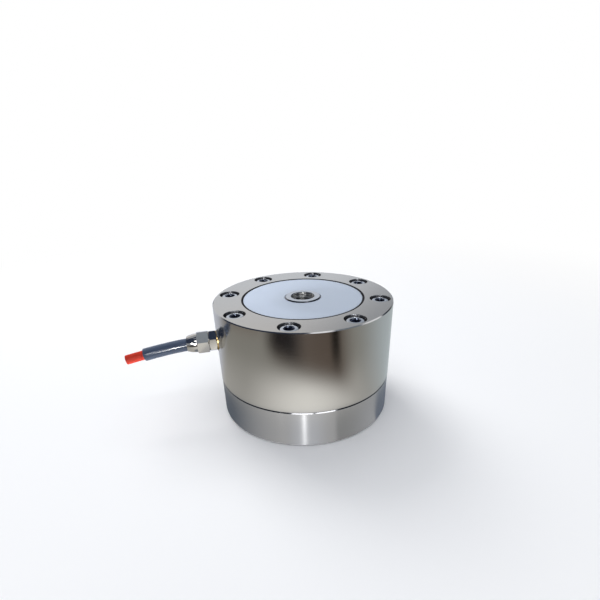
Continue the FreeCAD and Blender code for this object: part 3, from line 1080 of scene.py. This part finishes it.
def make_world():
    """White to the camera, and the painted room to everything else."""
    world = bpy.data.worlds.new("world")
    bpy.context.scene.world = world
    world.use_nodes = True
    tree = world.node_tree
    direction = put(tree, "ShaderNodeTexCoord").outputs["Generated"]
    path = put(tree, "ShaderNodeLightPath")
    colour = blend(tree, path.outputs["Is Camera Ray"], room_colour(tree, direction), WHITE)
    feed(tree, colour, tree.nodes["Background"].inputs["Color"])


def make_floor():
    """Pale plane that fades to white with distance."""
    half = FLOOR_HALF
    mesh = bpy.data.meshes.new("floor")
    mesh.from_pydata([(-half, -half, 0), (half, -half, 0), (half, half, 0), (-half, half, 0)], [],
                     [(0, 1, 2, 3)])
    floor = bpy.data.objects.new("floor", mesh)
    link(floor)
    material, tree, shader = new_material("floor_paint", Roughness=0.8, Specular_IOR_Level=0.1)
    cloud = noise(tree, place(tree), scale=3.0, detail=2.0)
    feed(tree, blend(tree, cloud, (0.90, 0.90, 0.905), (0.88, 0.88, 0.885)), shader.inputs["Base Color"])
    far = rise(tree, axis_radius(tree, place(tree)), *FLOOR_FADE_STEP)
    share = both(tree, far, put(tree, "ShaderNodeLightPath").outputs["Is Camera Ray"])
    white = put(tree, "ShaderNodeEmission", {"Color": (*WHITE, 1.0), "Strength": 1.0})
    mix = put(tree, "ShaderNodeMixShader")
    feed(tree, share, mix.inputs[0])
    feed(tree, shader.outputs[0], mix.inputs[1])
    feed(tree, white.outputs[0], mix.inputs[2])
    feed(tree, mix.outputs[0], tree.nodes["Material Output"].inputs["Surface"])
    mesh.materials.append(material)


def base_turn(tree, angle, share):
    """Angle round the base plate at which a place on the table is mirrored."""
    power = calc(tree, "POWER", share, FOOT_STRETCH_POWER)
    return calc(tree, "DIVIDE", angle, calc(tree, "MULTIPLY_ADD", power, FOOT_STRETCH, 1.0))


def foot_colour(tree, turn):
    """What the base plate mirrors, by the angle round it."""
    colour = blend(tree, rise(tree, turn, *FOOT_SPLIT_STEP), (0.52, 0.515, 0.51), (0.345, 0.345, 0.34))
    colour = blend(tree, rise(tree, turn, *FOOT_RIGHT_STEP), colour, (0.46, 0.465, 0.475))
    colour = blend(tree, window(tree, turn, *FOOT_MIDDLE), colour, (0.61, 0.62, 0.645))
    colour = blend(tree, rise(tree, turn, *FOOT_LEFT_STEP), colour, (0.13, 0.15, 0.18))
    return blend(tree, rise(tree, turn, *FOOT_END_STEP), colour, (0.185, 0.21, 0.26))


def mark(tree, under, angle, across_span, out, out_step, colour):
    """Colour over what is under it, between two angles and from a distance outwards."""
    share = both(tree, window(tree, angle, *across_span), rise(tree, out, *out_step))
    return blend(tree, share, under, colour)


def table_colour(tree, position):
    """Bright near the part, grey at the sides, dark and brown further out in front."""
    angle = bearing(tree, position)
    radius = axis_radius(tree, position)
    reach = calc(tree, "MULTIPLY_ADD", angle, REACH_SLOPE, radius)
    colour = blend(tree, rise(tree, radius, *TABLE_OUT_STEP), (0.31, 0.30, 0.27), (0.46, 0.45, 0.42))
    colour = mark(tree, colour, angle, FAR_LEFT_ACROSS, radius, FAR_LEFT_OUT_STEP, (0.22, 0.175, 0.145))
    colour = blend(tree, rise(tree, angle, *RIGHT_STEP), colour, (0.50, 0.555, 0.575))
    colour = blend(tree, rise(tree, angle, *BACK_LEFT_STEP), colour, (0.56, 0.58, 0.64))
    near = both(tree, rise(tree, calc(tree, "ABSOLUTE", angle), *NEAR_WIDE_STEP),
                rise(tree, radius, *NEAR_OUT_STEP))
    colour = blend(tree, near, colour, (1.02, 1.0, 0.95))
    colour = mark(tree, colour, angle, BROWN_ACROSS, reach, BROWN_OUT_STEP, (0.13, 0.10, 0.08))
    colour = mark(tree, colour, angle, DARK_ACROSS, reach, DARK_OUT_STEP, (0.008, 0.006, 0.007))
    colour = mark(tree, colour, angle, STREAK_ACROSS, radius, STREAK_OUT_STEP, (0.010, 0.008, 0.006))
    joint_mark = calc(tree, "MULTIPLY_ADD", calc(tree, "MULTIPLY", angle, angle), -JOINT_MARK_FALL,
                      JOINT_MARK_R)
    share = calc(tree, "DIVIDE", calc(tree, "SUBTRACT", radius, body_r),
                 calc(tree, "SUBTRACT", joint_mark, body_r))
    foot = foot_colour(tree, base_turn(tree, angle, calc(tree, "MAXIMUM", share, 0.0)))
    return blend(tree, rise(tree, share, *FOOT_STEP), colour, foot)


def make_table(steps=72):
    """Card under the part that only reflections see."""
    points = []
    for k in range(steps):
        points.append(around(CARD_INNER_R, 360.0 * k / steps, CARD_Z))
        points.append(around(CARD_OUTER_R, 360.0 * k / steps, CARD_Z))
    faces = []
    for k in range(steps):
        m = (k + 1) % steps
        faces.append((2 * k, 2 * k + 1, 2 * m + 1, 2 * m))
    mesh = bpy.data.meshes.new("table_card")
    mesh.from_pydata([tuple(p) for p in points], [], faces)
    card = bpy.data.objects.new("table_card", mesh)
    link(card)
    material, tree, shader = new_material(
        "table_card", Roughness=1.0, Base_Color=(0.0, 0.0, 0.0, 1.0), Specular_IOR_Level=0.0,
        Emission_Strength=1.0)
    feed(tree, table_colour(tree, place(tree)), shader.inputs["Emission Color"])
    mesh.materials.append(material)
    card.visible_camera = False
    card.visible_diffuse = False
    card.visible_transmission = False
    card.visible_shadow = False


def area_light(name, spot, aim, width, height, power, mirrored, colour=WHITE):
    """Lamp that is only mirrored, or that lights everything and isn't mirrored."""
    data = bpy.data.lights.new(name, "AREA")
    data.shape = "RECTANGLE"
    data.size = width
    data.size_y = height
    data.energy = power
    data.color = colour
    light = bpy.data.objects.new(name, data)
    link(light)
    light.location = spot
    light.rotation_mode = "QUATERNION"
    light.rotation_quaternion = (Vector(aim) - Vector(spot)).to_track_quat("-Z", "Y")
    light.visible_camera = False
    light.visible_diffuse = not mirrored
    light.visible_glossy = mirrored


def make_lights():
    """Soft light from above and behind, five lamps that metal mirrors, and a faint warm one below."""
    joint_front = aligned(0.0, body_r, joint_z)
    on_sleeve = (-mouth_x - SIDE_AIM_OUT, 0.0, gland_z)
    area_light("top_light", spot=(0.0, 0.0, 1.3), aim=(0.0, 0.0, 0.0), width=1.6, height=1.6,
               power=14.0, mirrored=False, colour=(0.97, 0.985, 1.0))
    area_light("key_light", spot=raised(1.2, 215.0, 48.0), aim=(0.0, 0.0, 0.03), width=0.55, height=0.55,
               power=6.0, mirrored=False)
    area_light("bar_lamp", spot=raised(LAMP_DISTANCE, -2.5, 19.0), aim=(0.0, 0.0, 0.05), width=0.36,
               height=0.016, power=0.42, mirrored=True)
    area_light("strip_lamp", spot=raised(LAMP_DISTANCE, -2.0, 7.0), aim=(0.0, 0.0, 0.02), width=0.012,
               height=0.16, power=1.9, mirrored=True)
    area_light("left_panel", spot=aligned(-0.016, LAMP_FRONT, 0.232), aim=joint_front, width=0.107,
               height=0.04, power=0.070, mirrored=True)
    area_light("right_panel", spot=aligned(0.106, LAMP_FRONT, 0.252), aim=joint_front, width=0.108,
               height=0.06, power=0.104, mirrored=True)
    area_light("side_lamp", spot=aligned(-0.108, LAMP_FRONT, 0.112), aim=on_sleeve, width=0.018,
               height=0.05, power=0.034, mirrored=True)
    area_light("under_light", spot=(-0.10, -0.03, 0.001), aim=(-0.10, -0.03, 1.0), width=0.07,
               height=0.06, power=0.05, mirrored=False, colour=(1.0, 0.92, 0.84))


make_camera()
jacket = cable_curve()
route = route_line()
sleeve_piece = sleeve(route)
core_ends = cores_at_end(route)
adapter = gland_adapter()
cap = gland_cap()
for screw_number in range(1, SCREW_COUNT + 1):
    screw(screw_number)
cover_fillet()
groove_shade_bead()
thread_piece("hub_thread", hub_top - HUB_THREAD_LOW, hub_top - HUB_THREAD_HIGH, "satin_nickel")
thread_piece("base_thread", BASE_THREAD_LOW, BASE_THREAD_HIGH, "turned_steel")
dress_nodes()
make_world()
make_floor()
make_table()
make_lights()
bpy.context.scene.view_settings.view_transform = "Standard"
